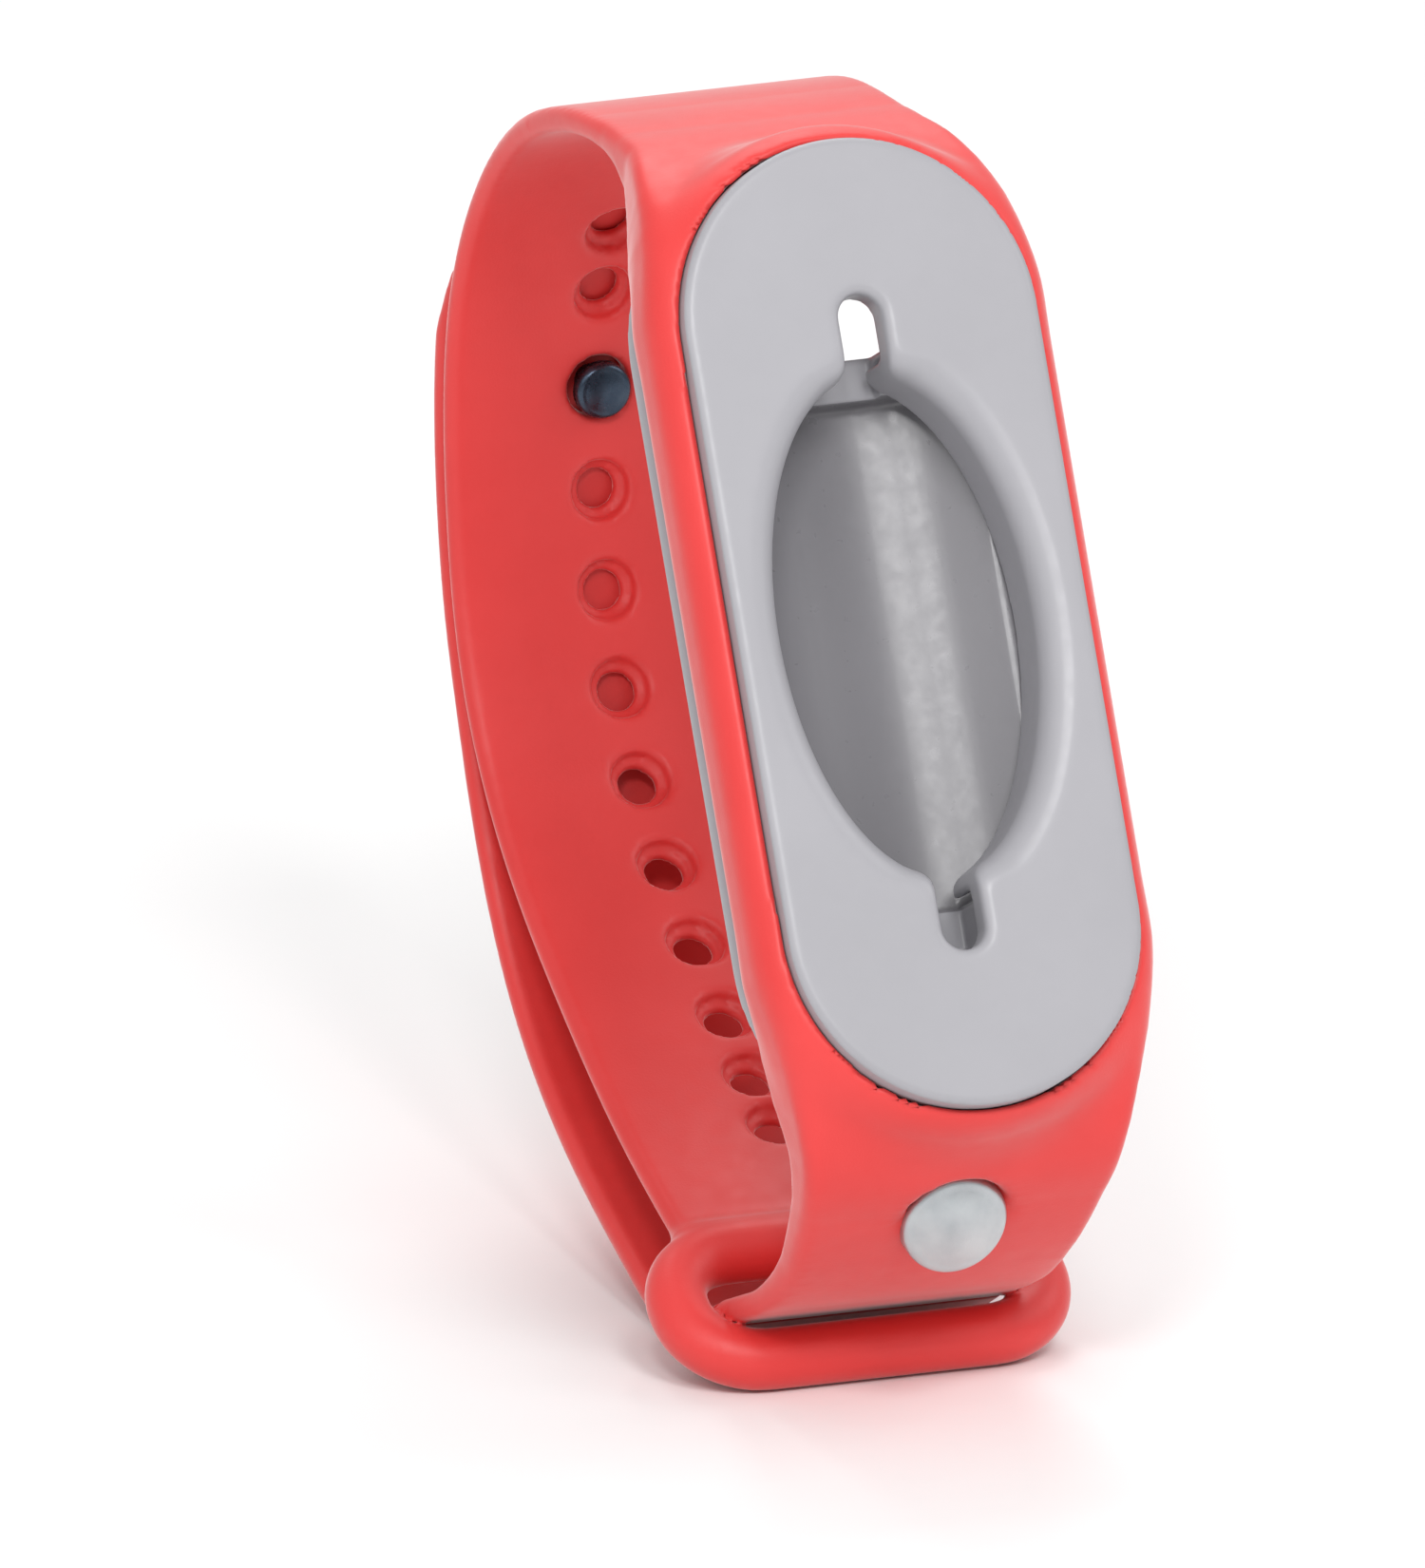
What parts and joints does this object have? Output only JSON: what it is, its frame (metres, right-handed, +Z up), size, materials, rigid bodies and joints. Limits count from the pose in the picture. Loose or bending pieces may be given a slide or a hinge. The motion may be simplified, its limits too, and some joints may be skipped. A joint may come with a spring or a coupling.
{
  "type": "wrist pin holder",
  "caption": "Closed silicone wristband with a hard hollow pin tray in its case, a keeper loop and a snap stud",
  "frame": {"origin": "centre of the bounding box's base; the band stands as it does when set down closed, on its keeper loop and tail", "axes": "+Z up, +X across the band to the right as seen from the tray's front, the tray faces -Y and leans back 27.7 degrees"},
  "size_m": [0.0212, 0.0566, 0.0602],
  "materials": {
    "silicone": "soft matt",
    "grey_plastic": "fine satin",
    "magnet": "nickel plated",
    "satin_metal": "fine blasted",
    "dark_metal": "dark plated, polished"
  },
  "bodies": {
    "band": {"case_frame": "silicone", "upper_strap": "silicone", "keeper_loop": "silicone", "lower_strap": "silicone", "strap_disc": "satin_metal"},
    "insert": {"insert_front_plate": "grey_plastic", "insert_trough": "grey_plastic", "insert_rear_cover": "grey_plastic", "magnet_strip": "magnet"},
    "tail": {"tail_tip": "silicone", "snap_stud": "dark_metal", "stud_cap": "satin_metal"}
  },
  "joints": [
    {"name": "tail_peel", "type": "hinge", "parent": "band", "child": "tail", "pos_m": [0, 0.02585, 0.02643], "axis": [-1, 0, 0], "range_deg": [0, 65]},
    {"name": "insert_push_out", "type": "slide", "parent": "band", "child": "insert", "axis": [0, 0.8854, -0.4648], "range_m": [0, 0.014]}
  ]
}
